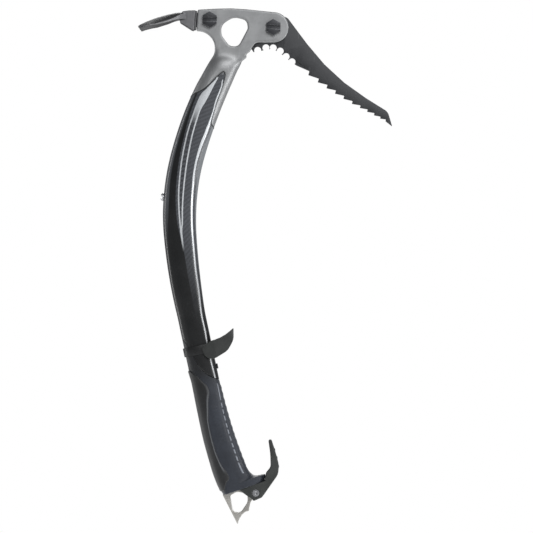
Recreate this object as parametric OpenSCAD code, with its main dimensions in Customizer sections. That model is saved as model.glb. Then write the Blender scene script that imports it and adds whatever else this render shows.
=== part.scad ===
// Technical ice axe: forged head with bolted pick and adze, curved carbon tube,
// moulded grip, sliding finger ledge with a cam lock, and a spike with a bolted hook.
// Units are millimetres. +Z runs up the tool, +X points to the pick, Y is across.
// The origin is the centre of the clip-in hole in the head.

/* [Head] */
// Thickness of the flat head plate
head_thick = 13; // [12:0.5:14]
// Thickness of the pick, the adze tang and the spike
plate_thick = 4; // [3.6:0.1:4.4]
// Free play on each side of a plate in its slot
slot_play = 0.1; // [0.05:0.05:0.2]
// Radius of the round front end of the head
nose_r = 14; // [13:0.5:14.5]
// Shank diameter of the two head bolts
head_bolt_d = 8; // [7:0.5:9]
// Width across the flats of the head bolts and their nuts
head_bolt_flats = 13.8; // [13:0.2:14.6]
// Height of a head bolt's head
head_bolt_h = 5; // [4:0.5:6]
// Height of a head nut
head_nut_h = 5.5; // [4:0.5:6.5]

/* [Pick and adze] */
// Radius of the round gullets near the head
gullet_r = 3.4; // [3:0.1:3.6]
// Height of the steep face of the first tooth
tooth_rise = 3.8; // [3:0.1:4]
// Width of the adze's cutting edge, side to side
adze_w = 46; // [40:1:52]
// How far the adze's long edges droop below its crown
adze_droop = 6.5; // [4:0.5:7]

/* [Shaft] */
// Lean of the straight lower shaft, in degrees
shaft_lean = 11.9; // [11.7:0.1:12.1]
// Length of the straight lower run
straight_len = 162; // [160:1:164]
// Half depth, front to back, of the lower shaft
low_w = 13.6; // [13.4:0.1:13.8]
// Half depth of the upper shaft
high_w = 16.2; // [16:0.1:16.4]
// Half thickness of the lower shaft
low_t = 10; // [9.8:0.1:10.2]
// Half thickness of the upper shaft
high_t = 11; // [10.6:0.1:11.4]
// Wall of the carbon tube
tube_wall = 1.8; // [1.6:0.1:2]
// Half depth of the tube inside the grip
seat_w = 11.3; // [11:0.1:11.4]
// Half thickness of the tube inside the grip
seat_t = 8.4; // [8.2:0.1:8.6]

/* [Grip] */
// Half thickness of the grip at its middle
grip_t = 12.4; // [12:0.1:12.8]
// How far the back panel stands out of the grip
panel_rise = 0.8; // [0.6:0.1:1]

/* [Spike and hook] */
// Thickness of the hook at its foot
fang_thick = 18; // [16:0.5:20]
// Thickness of the hook at its tip
fang_tip_thick = 12; // [10:0.5:14]
// Shank diameter of the hook's bolt
fang_bolt_d = 4; // [3.5:0.5:4.5]
// Diameter of the cross pins that hold the spike
spike_pin_d = 4; // [3.5:0.5:4.5]

/* [Finger ledge] */
// Place of the ledge along the shaft, from the shaft's foot
ledge_s = 130; // [129:1:132]
// Gap between the ledge's collar and the shaft
collar_gap = 0.4; // [0.35:0.05:0.5]
// Wall of the ledge's cheeks beside the shaft
cheek_wall = 1.8; // [1.6:0.1:2]
// Thickness of the clamp band
band_thick = 0.9; // [0.8:0.1:1.1]
// Diameter of the lever's pin
lever_pin_d = 4; // [3.6:0.2:4.4]
// Radial running clearance of the lever on its pin
lever_fit = 0.05; // [0.03:0.01:0.08]
// Diameter of the tension screw
tension_d = 2.6; // [2.4:0.1:2.8]

/* [Hidden] */
$fn = 48;
eps = 0.01;

// Centres of the bolts, as [x, z]
pick_bolt_at = [38.2, 5.2];
adze_bolt_at = [-23.4, 12.5];
fang_bolt_at = [21.2, -445.6];

// Runs of the shaft's centreline from its foot up: [length, bend radius], 0 is straight
foot = [-7.3, -435.3];
bends = [[620, 7.5], [230, 19.7], [400, 12.7]];
runs = concat([[straight_len, 0]],
    [for (b = bends) [b[0] * b[1] * PI / 180, b[0]]],
    [[60, 0]]);

// Exponent that squares up the oval section, and the angles of its corners
oval_k = 0.83;
half_angles = [0, 15, 30, 41, 47, 51, 55, 58, 61, 65, 70, 76, 82, 88, 95, 104, 116, 131, 148, 165];
ring_angles = concat(half_angles, [180], [for (i = [len(half_angles) - 1 : -1 : 1]) -half_angles[i]]);
grip_half = [0, 14, 28, 42, 56, 70, 83, 97, 110, 124, 138, 152, 166];
grip_angles = concat(grip_half, [180], [for (i = [len(grip_half) - 1 : -1 : 1]) -grip_half[i]]);

// Half depth and half thickness of the shaft along its centreline
depth_steps = [[165, low_w], [200, 14.9], [240, 15.8], [270, high_w], [350, high_w], [385, 15.6],
    [405, 14.8], [430, 13.9]];
thick_steps = [[165, low_t], [270, high_t], [370, high_t], [400, 10.6], [413, 10.2]];
// Pointed arch where the carbon ends on the neck: place along the shaft at each section angle
arch_steps = [[0, 354.5], [41, 357.5], [47, 361.5], [55, 377], [58, 388], [65, 402], [73, 408.3],
    [81, 409.5], [86, 407.8], [91, 402.5], [98, 395], [112, 386.5], [135, 380.5], [180, 375]];
// Slanted edge where the grip ends on the shaft, with a tongue up the back
edge_steps = [[0, 98.5], [33, 100], [77, 105.5], [97, 114], [140, 140.5], [180, 146]];

tube_foot = 30;
bead_h = 0.8;
slot_w = plate_thick + 2 * slot_play;

// ---- Shape helpers ----

function unit2(v) = v / norm(v);

// Arc of radius r that rounds corner b between a and c
function rounded(a, b, c, r) =
    r <= 0 ? [b] :
    let (u = unit2(a - b))
    let (v = unit2(c - b))
    let (half = acos(max(-1, min(1, u * v))) / 2)
    let (mid = b + unit2(u + v) * r / sin(half))
    let (start = b + u * r / tan(half) - mid)
    let (stop = b + v * r / tan(half) - mid)
    let (a0 = atan2(start[1], start[0]))
    let (turn = (atan2(stop[1], stop[0]) - a0 + 540) % 360 - 180)
    let (n = max(2, ceil(abs(turn) / 9)))
    [for (i = [0 : n]) mid + r * [cos(a0 + turn * i / n), sin(a0 + turn * i / n)]];

// Outline through corners [x, z, radius]
function outline(c) = [for (i = [0 : len(c) - 1])
    let (n = len(c))
    let (a = c[(i + n - 1) % n])
    let (d = c[(i + 1) % n])
    each rounded([a[0], a[1]], [c[i][0], c[i][1]], [d[0], d[1]], c[i][2])];

// Plate with an outline in X and Z, centred on Y = 0
module plate(corners, thick) {
    rotate([90, 0, 0]) linear_extrude(thick, center = true) polygon(outline(corners));
}

// Round bar or bore across the tool at [x, z]
module cross_bar(at, d, len) {
    translate([at[0], 0, at[1]]) rotate([90, 0, 0]) cylinder(h = len, d = d, center = true);
}

// Centreline place [x, z, heading] at length s from the shaft's foot
function run_end(p, len, r) =
    r == 0 ? [p[0] + len * sin(p[2]), p[1] + len * cos(p[2]), p[2]] :
    let (h = p[2] + len / r * 180 / PI)
    [p[0] + r * (cos(p[2]) - cos(h)), p[1] + r * (sin(h) - sin(p[2])), h];
function along(s, p = [foot[0], foot[1], -shaft_lean], i = 0) =
    i == len(runs) - 1 || s <= runs[i][0] ? run_end(p, s, runs[i][1]) :
    along(s - runs[i][0], run_end(p, runs[i][0], runs[i][1]), i + 1);

// Children modelled with the shaft's axis as Z and its front as +X
module on_shaft(s) {
    c = along(s);
    translate([c[0], 0, c[1]]) rotate([0, c[2], 0]) children();
}

function bow(v) = sign(v) * pow(abs(v), oval_k);
// Point [front, side] of the squared oval at angle a
function oval(a, back, front, thick) =
    [(cos(a) > 0 ? front : back) * bow(cos(a)), -thick * bow(sin(a))];
// The same point in space at length s
function on_oval(s, o) =
    let (c = along(s))
    [c[0] + o[0] * cos(c[2]), o[1], c[1] - o[0] * sin(c[2])];

function shaft_w(s) = lookup(s, depth_steps);
function shaft_t(s) = lookup(s, thick_steps);
// Ring point of the shaft's surface, pushed in by inset
function shaft_pt(s, a, inset) =
    on_oval(s, oval(a, shaft_w(s) - inset, shaft_w(s) - inset, shaft_t(s) - inset));
function arch(a) = lookup(abs(a), arch_steps);
function grip_edge(a) = lookup(abs(a), edge_steps);
function mix(a, b, v) = a + (b - a) * v;

// Closed solid through rings of equal length; looped joins the last ring to the first
module skin(rings, looped = false) {
    n = len(rings[0]);
    m = len(rings);
    sides = [for (j = [0 : looped ? m - 1 : m - 2], i = [0 : n - 1])
        let (a = j * n + i)
        let (b = j * n + (i + 1) % n)
        let (c = (j + 1) % m * n + i)
        let (d = (j + 1) % m * n + (i + 1) % n)
        each [[a, b, d], [a, d, c]]];
    caps = looped ? [] : [[for (i = [n - 1 : -1 : 0]) i], [for (i = [0 : n - 1]) (m - 1) * n + i]];
    polyhedron([for (r = rings) each r], concat(sides, caps), convexity = 8);
}

// ---- Head ----

head_corners = [[-35, 22.3, 1.2], [-2, 24.1, 180], [52.9, 18.4, nose_r], [52.7, -9.4, nose_r],
    [20.8, -9.6, 5], [15, -18.2, 0.8], [11.9, -20.4, 0.6], [12.2, -23.6, 0.6], [8.6, -26.4, 0.5],
    [2, -33, 2], [-19, -33, 2], [-20.4, -23, 1], [-18.6, -19, 1.5], [-18.6, 2.1, 16.6],
    [-36.5, 1.9, 0.8]];
clip_corners = [[-12.6, 8, 9], [-0.5, 15.8, 12], [12.4, 12.6, 6], [13.4, 4, 5], [4.2, -13.4, 6],
    [-4.4, -13, 7], [-12.2, -2.5, 9]];
tail_back = 15.2;

// Carbon seat and oval neck in one skin: tenon rings, then outer rings up to the plate
neck_top = 413;
function neck_rings() = concat(
    [for (p = [[300, 1.6], [303, 0.12], [325, 0.12], [345, 0.12]])
        [for (a = ring_angles) shaft_pt(p[0], a, tube_wall + p[1])]],
    [for (v = [0.3, 0.65, 1])
        [for (a = ring_angles) shaft_pt(mix(345, arch(a) + bead_h, v), a, tube_wall + 0.12)]],
    [for (v = [0, 0.15, 0.35, 0.6, 0.8, 1])
        [for (a = ring_angles) shaft_pt(mix(arch(a) + bead_h, neck_top, v), a, 0)]],
    [for (p = [[418, 0.14, 9.6, 14.2], [422, 0.27, 8.4, 13.8], [425, 0.27, 7, 13], [427, 0.27, 6, 11.5]])
        [for (a = ring_angles)
            let (o = oval(a, p[3], p[3], p[2]))
            on_oval(p[0] + o[0] * p[1], o)]]);

module head() {
    color("darkgray") difference() {
        union() {
            plate(head_corners, head_thick);
            skin(neck_rings());
        }
        plate(clip_corners, 3 * head_thick);
        cross_bar(pick_bolt_at, head_bolt_d + 0.1, 3 * head_thick);
        cross_bar(adze_bolt_at, head_bolt_d + 0.1, 3 * head_thick);
        plate([[tail_back - 0.3, -24, 0], [60, -24, 0], [60, 16.4, 0], [tail_back - 0.3, 16.4, 1]], slot_w);
        plate([[-40, 5.8, 0], [-16.4, 5.8, 3], [-16.4, 19.2, 3], [-40, 19.2, 0]], slot_w);
    }
}

// ---- Pick ----

gullets = [[23, -16.9], [31, -14.4], [38, -14.5], [44.8, -17.6], [50.5, -22.9], [56.2, -28]];
teeth = [[72, -40.9], [81.2, -47.9], [89.6, -53.7], [97.9, -58.9], [106, -63.9], [114.2, -68.8],
    [122, -72.8], [129, -76.5], [135.6, -79.9], [141.6, -83.1], [146.8, -85.6]];
// The teeth get lower towards the tip
function tooth_h(i) = tooth_rise * (1 - 0.055 * i);
tooth_points = [for (i = [0 : len(teeth) - 1]) each [
    [teeth[i][0] + 0.3 * tooth_h(i), teeth[i][1] + tooth_h(i), 0],
    [teeth[i][0], teeth[i][1], 0]]];

module pick() {
    color("dimgray") difference() {
        plate(concat(
            [[tail_back, 16, 2], [45, 16, 0], [51.4, 15.4, 6], [94.5, -42.3, 210],
                [149.2, -76.4, 9], [153.6, -91, 0.3]],
            [for (i = [len(tooth_points) - 1 : -1 : 0]) tooth_points[i]],
            [[60.6, -31.6, 0], [53.3, -26.4, 0], [47.6, -21.6, 0], [41.5, -17.4, 0], [34.5, -15.4, 0],
                [27, -17.2, 0], [18.9, -18.6, 0.3], [tail_back, -13, 1]]), plate_thick);
        for (g = gullets) cross_bar(g, 2 * gullet_r, 2 * plate_thick);
        cross_bar(pick_bolt_at, head_bolt_d + 0.1, 2 * plate_thick);
    }
}

// ---- Adze ----

// Thickness of the shoulder that stops against the end of the head
shoulder_thick = 7;
// Blade stations: [x, crown height, half width as a share, droop as a share, thickness]
adze_stations = [[-46, 19.5, 0.26, 0.05, 10], [-52, 20, 0.34, 0.3, 8.2], [-59, 19.1, 0.5, 0.72, 4.6],
    [-67, 17.2, 0.7, 0.92, 3.6], [-75, 14.7, 0.86, 0.92, 3], [-83, 11.7, 0.95, 0.72, 2.6],
    [-89, 9, 0.99, 0.58, 1.9], [-93, 6.7, 1, 0.5, 0.9]];
adze_span = [for (i = [0 : 10]) i / 5 - 1];
function adze_ring(p) =
    let (w = adze_w / 2 * p[2])
    let (d = adze_droop * p[3])
    concat([for (u = adze_span) [p[0] + 2.5 * u * u * p[2], u * w, p[1] - d * u * u]],
        [for (i = [len(adze_span) - 1 : -1 : 0])
            let (u = adze_span[i])
            [p[0] + 2.5 * u * u * p[2], u * w, p[1] - d * u * u - p[4] * (1 - 0.35 * u * u)]]);

module adze() {
    color("gray") difference() {
        union() {
            plate([[-37.1, 21.8, 0.8], [-50, 20.8, 2], [-53, 9.6, 3], [-49, 7.4, 2], [-40.2, 1.9, 1.5],
                [-38.6, 1.9, 0.6]], head_thick);
            plate([[-44, 6, 0], [-44, 19, 0], [-16.7, 19, 6], [-16.7, 6, 6]], plate_thick);
            plate([[-35.6, 21, 0], [-44, 20.6, 0], [-44, 4, 0], [-37, 2.9, 0]], shoulder_thick);
            skin([for (i = [len(adze_stations) - 1 : -1 : 0]) adze_ring(adze_stations[i])]);
        }
        cross_bar(adze_bolt_at, head_bolt_d + 0.1, 2 * plate_thick);
    }
}

// ---- Head bolts and nuts ----

// Hexagon head with a screwdriver slot on the near side, shank across the head
module head_bolt(at, slot_turn) {
    translate([at[0], 0, at[1]]) rotate([90, 0, 0]) difference() {
        union() {
            translate([0, 0, head_thick / 2]) rotate([0, 0, 30])
                cylinder(h = head_bolt_h, d = head_bolt_flats / cos(30), $fn = 6);
            translate([0, 0, -head_thick / 2 - head_nut_h - 1])
                cylinder(h = head_thick + head_nut_h + 1.5, d = head_bolt_d);
        }
        rotate([0, 0, slot_turn]) translate([-head_bolt_flats, -1.9, head_thick / 2 + head_bolt_h - 2.4])
            cube([2 * head_bolt_flats, 3.8, 5]);
    }
}

module head_nut(at) {
    translate([at[0], head_thick / 2, at[1]]) rotate([-90, 0, 0]) difference() {
        rotate([0, 0, 30]) cylinder(h = head_nut_h, d = head_bolt_flats / cos(30), $fn = 6);
        translate([0, 0, -1]) cylinder(h = head_nut_h + 2, d = head_bolt_d + 0.04);
    }
}

module pick_bolt() { color("dimgray") head_bolt(pick_bolt_at, -5); }
module pick_nut() { color("dimgray") head_nut(pick_bolt_at); }
module adze_bolt() { color("dimgray") head_bolt(adze_bolt_at, 0); }
module adze_nut() { color("dimgray") head_nut(adze_bolt_at); }

// ---- Shaft ----

spine_s = 279.2;
stop_s = 111.8;
pin_s = [42, 60];
pin_off = 2.2;

// The tube's outside, from its seat in the grip to the arch, and its inside back down
function seat_pt(s, a, inset) = on_oval(s, oval(a, seat_w - inset, seat_w - inset, seat_t - inset));
function shaft_rings() = concat(
    [for (s = [tube_foot, 80]) [for (a = ring_angles) seat_pt(s, a, 0)]],
    [for (v = [0.5, 1]) [for (a = ring_angles) seat_pt(mix(80, grip_edge(a), v), a, 0)]],
    [for (v = [0, 1]) [for (a = ring_angles) shaft_pt(mix(grip_edge(a), 166, v), a, 0)]],
    [for (s = [180, 195, 210, 225, 240, 255, 270, 285, 300, 315, 330, 345])
        [for (a = ring_angles) shaft_pt(s, a, 0)]],
    [for (v = [0.2, 0.4, 0.6, 0.8, 1]) [for (a = ring_angles) shaft_pt(mix(345, arch(a), v), a, 0)]],
    [for (v = [1, 0.65, 0.3, 0])
        [for (a = ring_angles) shaft_pt(mix(345, arch(a), v), a, tube_wall)]],
    [for (s = [325, 303, 280, 260, 240, 220, 200, 180, 166])
        [for (a = ring_angles) shaft_pt(s, a, tube_wall)]],
    [for (s = [152, tube_foot]) [for (a = ring_angles) seat_pt(s, a, tube_wall)]]);

module shaft() {
    color("#2c2e30") difference() {
        skin(shaft_rings(), looped = true);
        on_shaft(spine_s) translate([-30, 0, 0]) rotate([0, 90, 0]) cylinder(h = 25, d = 4.1);
        on_shaft(stop_s) translate([4, 0, 0]) rotate([0, 90, 0]) cylinder(h = 20, d = 3.1);
        for (s = pin_s) on_shaft(s) translate([pin_off, 0, 0]) rotate([90, 0, 0])
            cylinder(h = 40, d = spike_pin_d, center = true);
    }
}

// Dark bond line that fills the gap between the carbon and the neck
module neck_bead() {
    section = [[0.05, 0], [0.4, -0.25], [bead_h - 0.05, 0], [bead_h - 0.05, tube_wall - 0.1],
        [0.05, tube_wall - 0.1]];
    color("#1c1c1e") skin([for (p = section) [for (a = ring_angles) shaft_pt(arch(a) + p[0], a, p[1])]],
        looped = true);
}

// Domed stud in the spine, and the low stop stud under the ledge
module spine_stud() {
    color("silver") on_shaft(spine_s) rotate([0, -90, 0]) {
        translate([0, 0, 6]) cylinder(h = high_w - 6, d = 4);
        translate([0, 0, high_w + 0.05]) cylinder(h = 1.2, d = 7.8);
        translate([0, 0, high_w + 1.25 - eps]) cylinder(h = 1.5, d1 = 7.8, d2 = 4.6);
        translate([0, 0, high_w - 0.5]) cylinder(h = 1, d = 4);
    }
}

module stop_stud() {
    color("#26282a") on_shaft(stop_s) rotate([0, 90, 0]) {
        translate([0, 0, 8]) cylinder(h = low_w - 7, d = 3);
        translate([0, 0, low_w + 0.05]) cylinder(h = 1.45, d = 5);
    }
}

// ---- Grip ----

// Profiles of the grip along the shaft: back, front and side
grip_back = [[-11, 5.4], [-6, 7.2], [4, 9.5], [14, 10.9], [24, 11.7], [34, 12.4], [44, 12.9], [54, 13.1],
    [74, 13.05], [100, 12.75], [112, low_w - 0.05], [150, low_w - 0.05]];
grip_front = [[4, 23.4], [10, 21.8], [16.5, 20.6], [27, 19], [37, 17.6], [47, 16.4], [57, 15.5], [67, 14.8],
    [77, 14.2], [87, 13.8], [98, low_w - 0.05]];
grip_side = [[-11, 11.6], [10, grip_t], [60, grip_t], [85, 11.4], [100, low_t + 0.3], [112, low_t - 0.05]];
bore_back = [[-11, 3.8], [-6, 5], [4, 7.2], [13, 8.8], [24, 10.2], [30, seat_w + 0.08]];
bore_front = [[-11, 14], [13, 13], [30, seat_w + 0.08]];
// Lip rings over the hook: [s, front]
lip = [[-10.5, 36.4], [-8.4, 37.6], [-5.6, 38.4], [-4.6, 37], [-3.8, 31], [-2, 27], [1.2, 24.8]];
foot_slant = 0.119;
function slant(s) = foot_slant * max(0, min(1, (18 - s) / 20));

function grip_pt(s, a, rise = 0, front = 0) =
    let (f = front > 0 ? front : lookup(s, grip_front))
    let (o = oval(a, lookup(s, grip_back) + rise, f + rise, lookup(s, grip_side) + rise))
    on_oval(s + slant(s) * o[0], o);
function bore_pt(s, a) =
    let (o = oval(a, lookup(s, bore_back), lookup(s, bore_front), seat_t + 0.08))
    on_oval(s + slant(s) * o[0], o);
grip_neck = 84;
function grip_rings() = concat(
    [for (p = lip) [for (a = grip_angles) grip_pt(p[0], a, 0, p[1])]],
    [for (s = [5, 10, 16, 24, 34, 46, 58, 70, grip_neck]) [for (a = grip_angles) grip_pt(s, a)]],
    [for (v = [0.25, 0.5, 0.75, 1])
        [for (a = grip_angles) grip_pt(mix(grip_neck, grip_edge(a) - 0.6, v), a)]],
    [for (v = [1, 0.5, 0]) [for (a = grip_angles) bore_pt(mix(grip_neck, grip_edge(a) - 0.6, v), a)]],
    [for (s = [30, 20, 10, 0, -10.5]) [for (a = grip_angles) bore_pt(s, a)]]);

module grip() { color("#3a3e42") skin(grip_rings(), looped = true); }

// Raised back panel: its edge angle along the grip
panel_steps = [[-7, 112], [-1, 92], [4, 84], [8, 85], [22, 98], [32, 105], [50, 108], [60, 107], [72, 98],
    [83, 90], [89, 85], [94, 86], [101, 100], [107, 118], [113, 150]];
panel_span = [for (i = [0 : 12]) i / 6 - 1];
function panel_ring(s) =
    let (edge = lookup(s, panel_steps))
    let (arc = [for (u = panel_span) 180 + (180 - edge) * u])
    let (rim = (s < -6 || s > 112) ? 0.25 : panel_rise)
    concat([for (a = arc) grip_pt(s, a, rim)],
        [for (i = [len(arc) - 1 : -1 : 0]) grip_pt(s, arc[i], 0.08)]);

module grip_back_panel() {
    places = [-7, -5.5, -1, 4, 9, 16, 24, 32, 41, 50, 60, 71, 82, 89, 95, 101, 107, 111.5, 113];
    color("#323436") skin([for (s = places) panel_ring(s)]);
}

// ---- Spike ----

// Line of the grip's bottom face at x, and the tang inside the plug
bottom_at = along(-10.5);
function bottom_z(x) = bottom_at[1] + (x - bottom_at[0]) * tan(shaft_lean + atan(foot_slant));
tang = [-3.5, 8, 66];
spike_corners = [[-11.2, bottom_z(-11.2) - 0.15, 0.5], [27, bottom_z(27) - 0.15, 3], [25.4, -450, 4],
    [17.8, -452.4, 0.5], [15.8, -456, 3], [14.3, -463.6, 0.6], [11.4, -464.2, 2], [7.6, -467.2, 8],
    [4.4, -473, 4], [3.6, -476.8, 0.3]];
eye_corners = [[-3.6, -448.6, 2.6], [2.6, -444.9, 6], [13, -446.7, 3.6], [13.3, -455, 8], [6.4, -465.3, 4.6],
    [-1.2, -464, 4]];

module tang_plate(thick, play) {
    on_shaft(0) translate([tang[0] - play, -thick / 2, -16])
        cube([tang[1] - tang[0] + 2 * play, thick, 16 + tang[2] + play]);
}

module spike() {
    color("#8c8a85") difference() {
        union() {
            plate(spike_corners, plate_thick);
            intersection() {
                tang_plate(plate_thick, 0);
                plate([[-60, -380, 0], [60, -360, 0], [60, bottom_z(60) - 2, 0],
                    [-60, bottom_z(-60) - 2, 0]], 8);
            }
        }
        plate(eye_corners, 2 * plate_thick);
        cross_bar(fang_bolt_at, fang_bolt_d + 0.1, 2 * plate_thick);
        for (s = pin_s) on_shaft(s) translate([pin_off, 0, 0]) rotate([90, 0, 0])
            cylinder(h = 40, d = spike_pin_d, center = true);
    }
}

// Moulded core that fills the grip's foot and the tube's end around the tang
plug_gap = 0.1;
function plug_rings() = concat(
    [for (s = [-10.4, 0, 10, 20, 29.8]) [for (a = grip_angles)
        let (back = lookup(s, bore_back) - plug_gap)
        let (o = oval(a, back, lookup(s, bore_front) - plug_gap, seat_t - plug_gap))
        on_oval(s + slant(s) * o[0], o)]],
    [for (s = [29.9, 74]) [for (a = grip_angles) seat_pt(s, a, tube_wall + plug_gap)]]);

module spike_plug() {
    color("#222426") difference() {
        skin(plug_rings());
        tang_plate(slot_w, 0.1);
        for (s = pin_s) on_shaft(s) translate([pin_off, 0, 0]) rotate([90, 0, 0])
            cylinder(h = 40, d = spike_pin_d, center = true);
    }
}

module spike_pins() {
    color("silver") for (s = pin_s) on_shaft(s) translate([pin_off, 0, 0]) rotate([90, 0, 0])
        cylinder(h = 2 * seat_t - 0.4, d = spike_pin_d - 0.04, center = true);
}

// ---- Hook ----

fang_corners = [[4.7, bottom_z(4.7) - 0.3, 0.3], [30, bottom_z(30) - 0.3, 0.5], [31, -426.6, 1.5],
    [35.5, -421.2, 6], [35.2, -408, 60], [33.3, -395.2, 1.5], [36.1, -393.4, 1.5], [40.4, -407, 40],
    [43.4, -418, 14], [43, -427.5, 12], [29.2, -447.2, 4], [26.8, -450.2, 1.5], [19, -453.6, 1],
    [17.2, -451.4, 1], [12.8, -448.6, 2]];

module fang() {
    color("#40423f") difference() {
        intersection() {
            plate(fang_corners, 40);
            translate([-10, 0, 0]) rotate([90, 0, 90]) linear_extrude(80)
                polygon([[-fang_thick / 2, -460], [fang_thick / 2, -460], [fang_thick / 2, -430],
                    [fang_tip_thick / 2, -400], [fang_tip_thick / 2, -390], [-fang_tip_thick / 2, -390],
                    [-fang_tip_thick / 2, -400], [-fang_thick / 2, -430]]);
        }
        plate([[-10, -470, 0], [28.2, -470, 0], [28.2, -425, 0], [-10, -425, 0]], slot_w);
        cross_bar(fang_bolt_at, fang_bolt_d + 0.1, 60);
        translate([fang_bolt_at[0], -fang_thick / 2 + 3.2, fang_bolt_at[1]]) rotate([90, 0, 0])
            cylinder(h = 10, d = 7.4);
        translate([fang_bolt_at[0], fang_thick / 2 - 3, fang_bolt_at[1]]) rotate([-90, 30, 0])
            cylinder(h = 10, d = 7.2 / cos(30), $fn = 6);
    }
}

// Socket head screw with a hexagon socket, and its nut in the far cheek
module fang_bolt() {
    color("silver") translate([fang_bolt_at[0], 0, fang_bolt_at[1]]) rotate([90, 0, 0]) difference() {
        union() {
            translate([0, 0, fang_thick / 2 - 3.15]) cylinder(h = 2.9, d = 6.8);
            translate([0, 0, -fang_thick / 2 + 0.4]) cylinder(h = fang_thick - 3.4, d = fang_bolt_d);
        }
        translate([0, 0, fang_thick / 2 - 2]) cylinder(h = 5, d = 3.4, $fn = 6);
    }
}

module fang_nut() {
    color("silver") translate([fang_bolt_at[0], fang_thick / 2 - 2.95, fang_bolt_at[1]]) rotate([-90, 30, 0])
        difference() {
            cylinder(h = 2.6, d = 7 / cos(30), $fn = 6);
            translate([0, 0, -1]) cylinder(h = 6, d = fang_bolt_d + 0.04);
        }
}

// ---- Finger ledge ----
// Everything here is modelled on the straight lower shaft: +X is the front, Z runs up the shaft

collar_w = low_w + collar_gap;
collar_t = low_t + collar_gap;
cheek_y = collar_t + cheek_wall;
band_low = -3.5;
band_high = 5;
lever_at = [10.4, 15.9];
knuckle = 2.9;
lever_boss_r = 3.3;
ledge_corners = [[37.4, 14.8, 0.4], [26, 8, 40], [13, 6.8, 12], [6.6, 4.6, 3], [3.6, 1.6, 2.5], [4.4, -5, 5],
    [8.6, -9.9, 3.5], [14.5, -10.2, 6], [27.6, -5.6, 14], [35.2, 3.4, 14]];

// Section of the shaft grown by a gap
module grown_section(grow, length) {
    translate([0, 0, -length / 2]) linear_extrude(length)
        polygon([for (a = ring_angles) oval(a, low_w + grow, low_w + grow, low_t + grow)]);
}

module finger_ledge() {
    color("#3d3f3e") on_shaft(ledge_s) difference() {
        union() {
            intersection() {
                rotate([90, 0, 0]) linear_extrude(40, center = true) polygon(outline(ledge_corners));
                translate([0, 0, -20]) linear_extrude(60)
                    polygon(outline([[0, -cheek_y, 0], [16, -cheek_y, 6], [38.5, -8.6, 6],
                        [38.5, 8.6, 6], [16, cheek_y, 6], [0, cheek_y, 0]]));
            }
            // Knuckles that carry the lever's pin, and the ear that takes the tension screw
            for (z = [-7.1, 6.1 - knuckle]) translate([0, 0, z]) linear_extrude(knuckle)
                polygon(outline([[lever_at[0] - 3.2, cheek_y - 1.4, 0], [lever_at[0] + 4.2, cheek_y - 1.4, 0],
                    [lever_at[0] + 3.4, lever_at[1] + 3.2, 3], [lever_at[0] - 3.2, lever_at[1] + 3.2, 3]]));
            translate([4.2, collar_t + 0.2, -3.4]) cube([2.4, lever_at[1] + 2.6 - collar_t, 5.8]);
        }
        grown_section(collar_gap, 80);
        // Seat for the band's near end, and the bores for the pin and the screw
        band_strap(0.1);
        translate([lever_at[0], lever_at[1], -10]) cylinder(h = 20, d = lever_pin_d + 0.04);
        translate([-20, lever_at[1], -0.5]) rotate([0, 90, 0]) cylinder(h = 30, d = tension_d + 0.1);
    }
}

// Strap round the back of the shaft; its far end turns out into an ear for the tension screw
function band_arc(grow) = [for (a = [60, 66, 76, 88, 104, 120, 138, 158, 180, -158, -138, -120, -104])
    oval(a, low_w + grow, low_w + grow, low_t + grow)];
module band_strap(play) {
    inner = band_arc(collar_gap - play);
    outer = band_arc(collar_gap + band_thick + play);
    first = play > 0 ? 0 : 1;
    translate([0, 0, band_low - play]) linear_extrude(band_high - band_low + 2 * play)
        polygon(concat([for (i = [first : len(inner) - 1]) inner[i]],
            [for (i = [len(outer) - 1 : -1 : first]) outer[i]]));
}

module clamp_band() {
    color("#2b2d2e") on_shaft(ledge_s) difference() {
        union() {
            band_strap(0);
            translate([-5.2, collar_t - 0.3, -3.4]) cube([1.8, lever_at[1] + 2.6 - collar_t + 0.3, 5.8]);
        }
        translate([-20, lever_at[1], -0.5]) rotate([0, 90, 0]) cylinder(h = 30, d = tension_d + 0.1);
    }
}

// Forked cam lever that lies along the far cheek when it is shut
module lock_lever() {
    color("#333536") on_shaft(ledge_s) difference() {
        union() {
            translate([lever_at[0], lever_at[1], -3.9]) cylinder(h = 6.8, r = lever_boss_r);
            translate([0, 0, -3.9]) linear_extrude(6.8)
                polygon(outline([[lever_at[0] + 0.5, lever_at[1] - 1.3, 0], [17, cheek_y + 1.3, 12],
                    [25.5, cheek_y - 0.4, 1.2], [26.3, cheek_y + 2.2, 1.2],
                    [18, lever_at[1] + 2, 12], [lever_at[0] + 0.5, lever_at[1] + 2.4, 0]]));
        }
        translate([lever_at[0], lever_at[1], -10]) cylinder(h = 20, d = lever_pin_d + 2 * lever_fit);
        translate([lever_at[0], lever_at[1], -2.3]) cylinder(h = 3.6, r = lever_boss_r + 1.2);
    }
}

module lever_pin() {
    color("silver") on_shaft(ledge_s) difference() {
        translate([lever_at[0], lever_at[1], -7.1]) cylinder(h = 13.2, d = lever_pin_d);
        translate([0, lever_at[1], -0.5]) rotate([0, 90, 0]) cylinder(h = 30, d = tension_d + 0.04);
    }
}

module tension_screw() {
    color("silver") on_shaft(ledge_s) translate([0, lever_at[1], -0.5]) rotate([0, 90, 0]) difference() {
        union() {
            translate([0, 0, -7.1]) cylinder(h = 1.8, d = 4.8);
            translate([0, 0, -5.4]) cylinder(h = 5.4 + lever_at[0] + 1.6, d = tension_d);
        }
        translate([0, 0, -8]) cylinder(h = 1.8, d = 2.4, $fn = 6);
    }
}

head();
pick();
adze();
pick_bolt();
pick_nut();
adze_bolt();
adze_nut();
shaft();
neck_bead();
spine_stud();
stop_stud();
grip();
grip_back_panel();
spike();
spike_plug();
spike_pins();
fang();
fang_bolt();
fang_nut();
finger_ledge();
clamp_band();
lock_lever();
lever_pin();
tension_screw();
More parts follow.
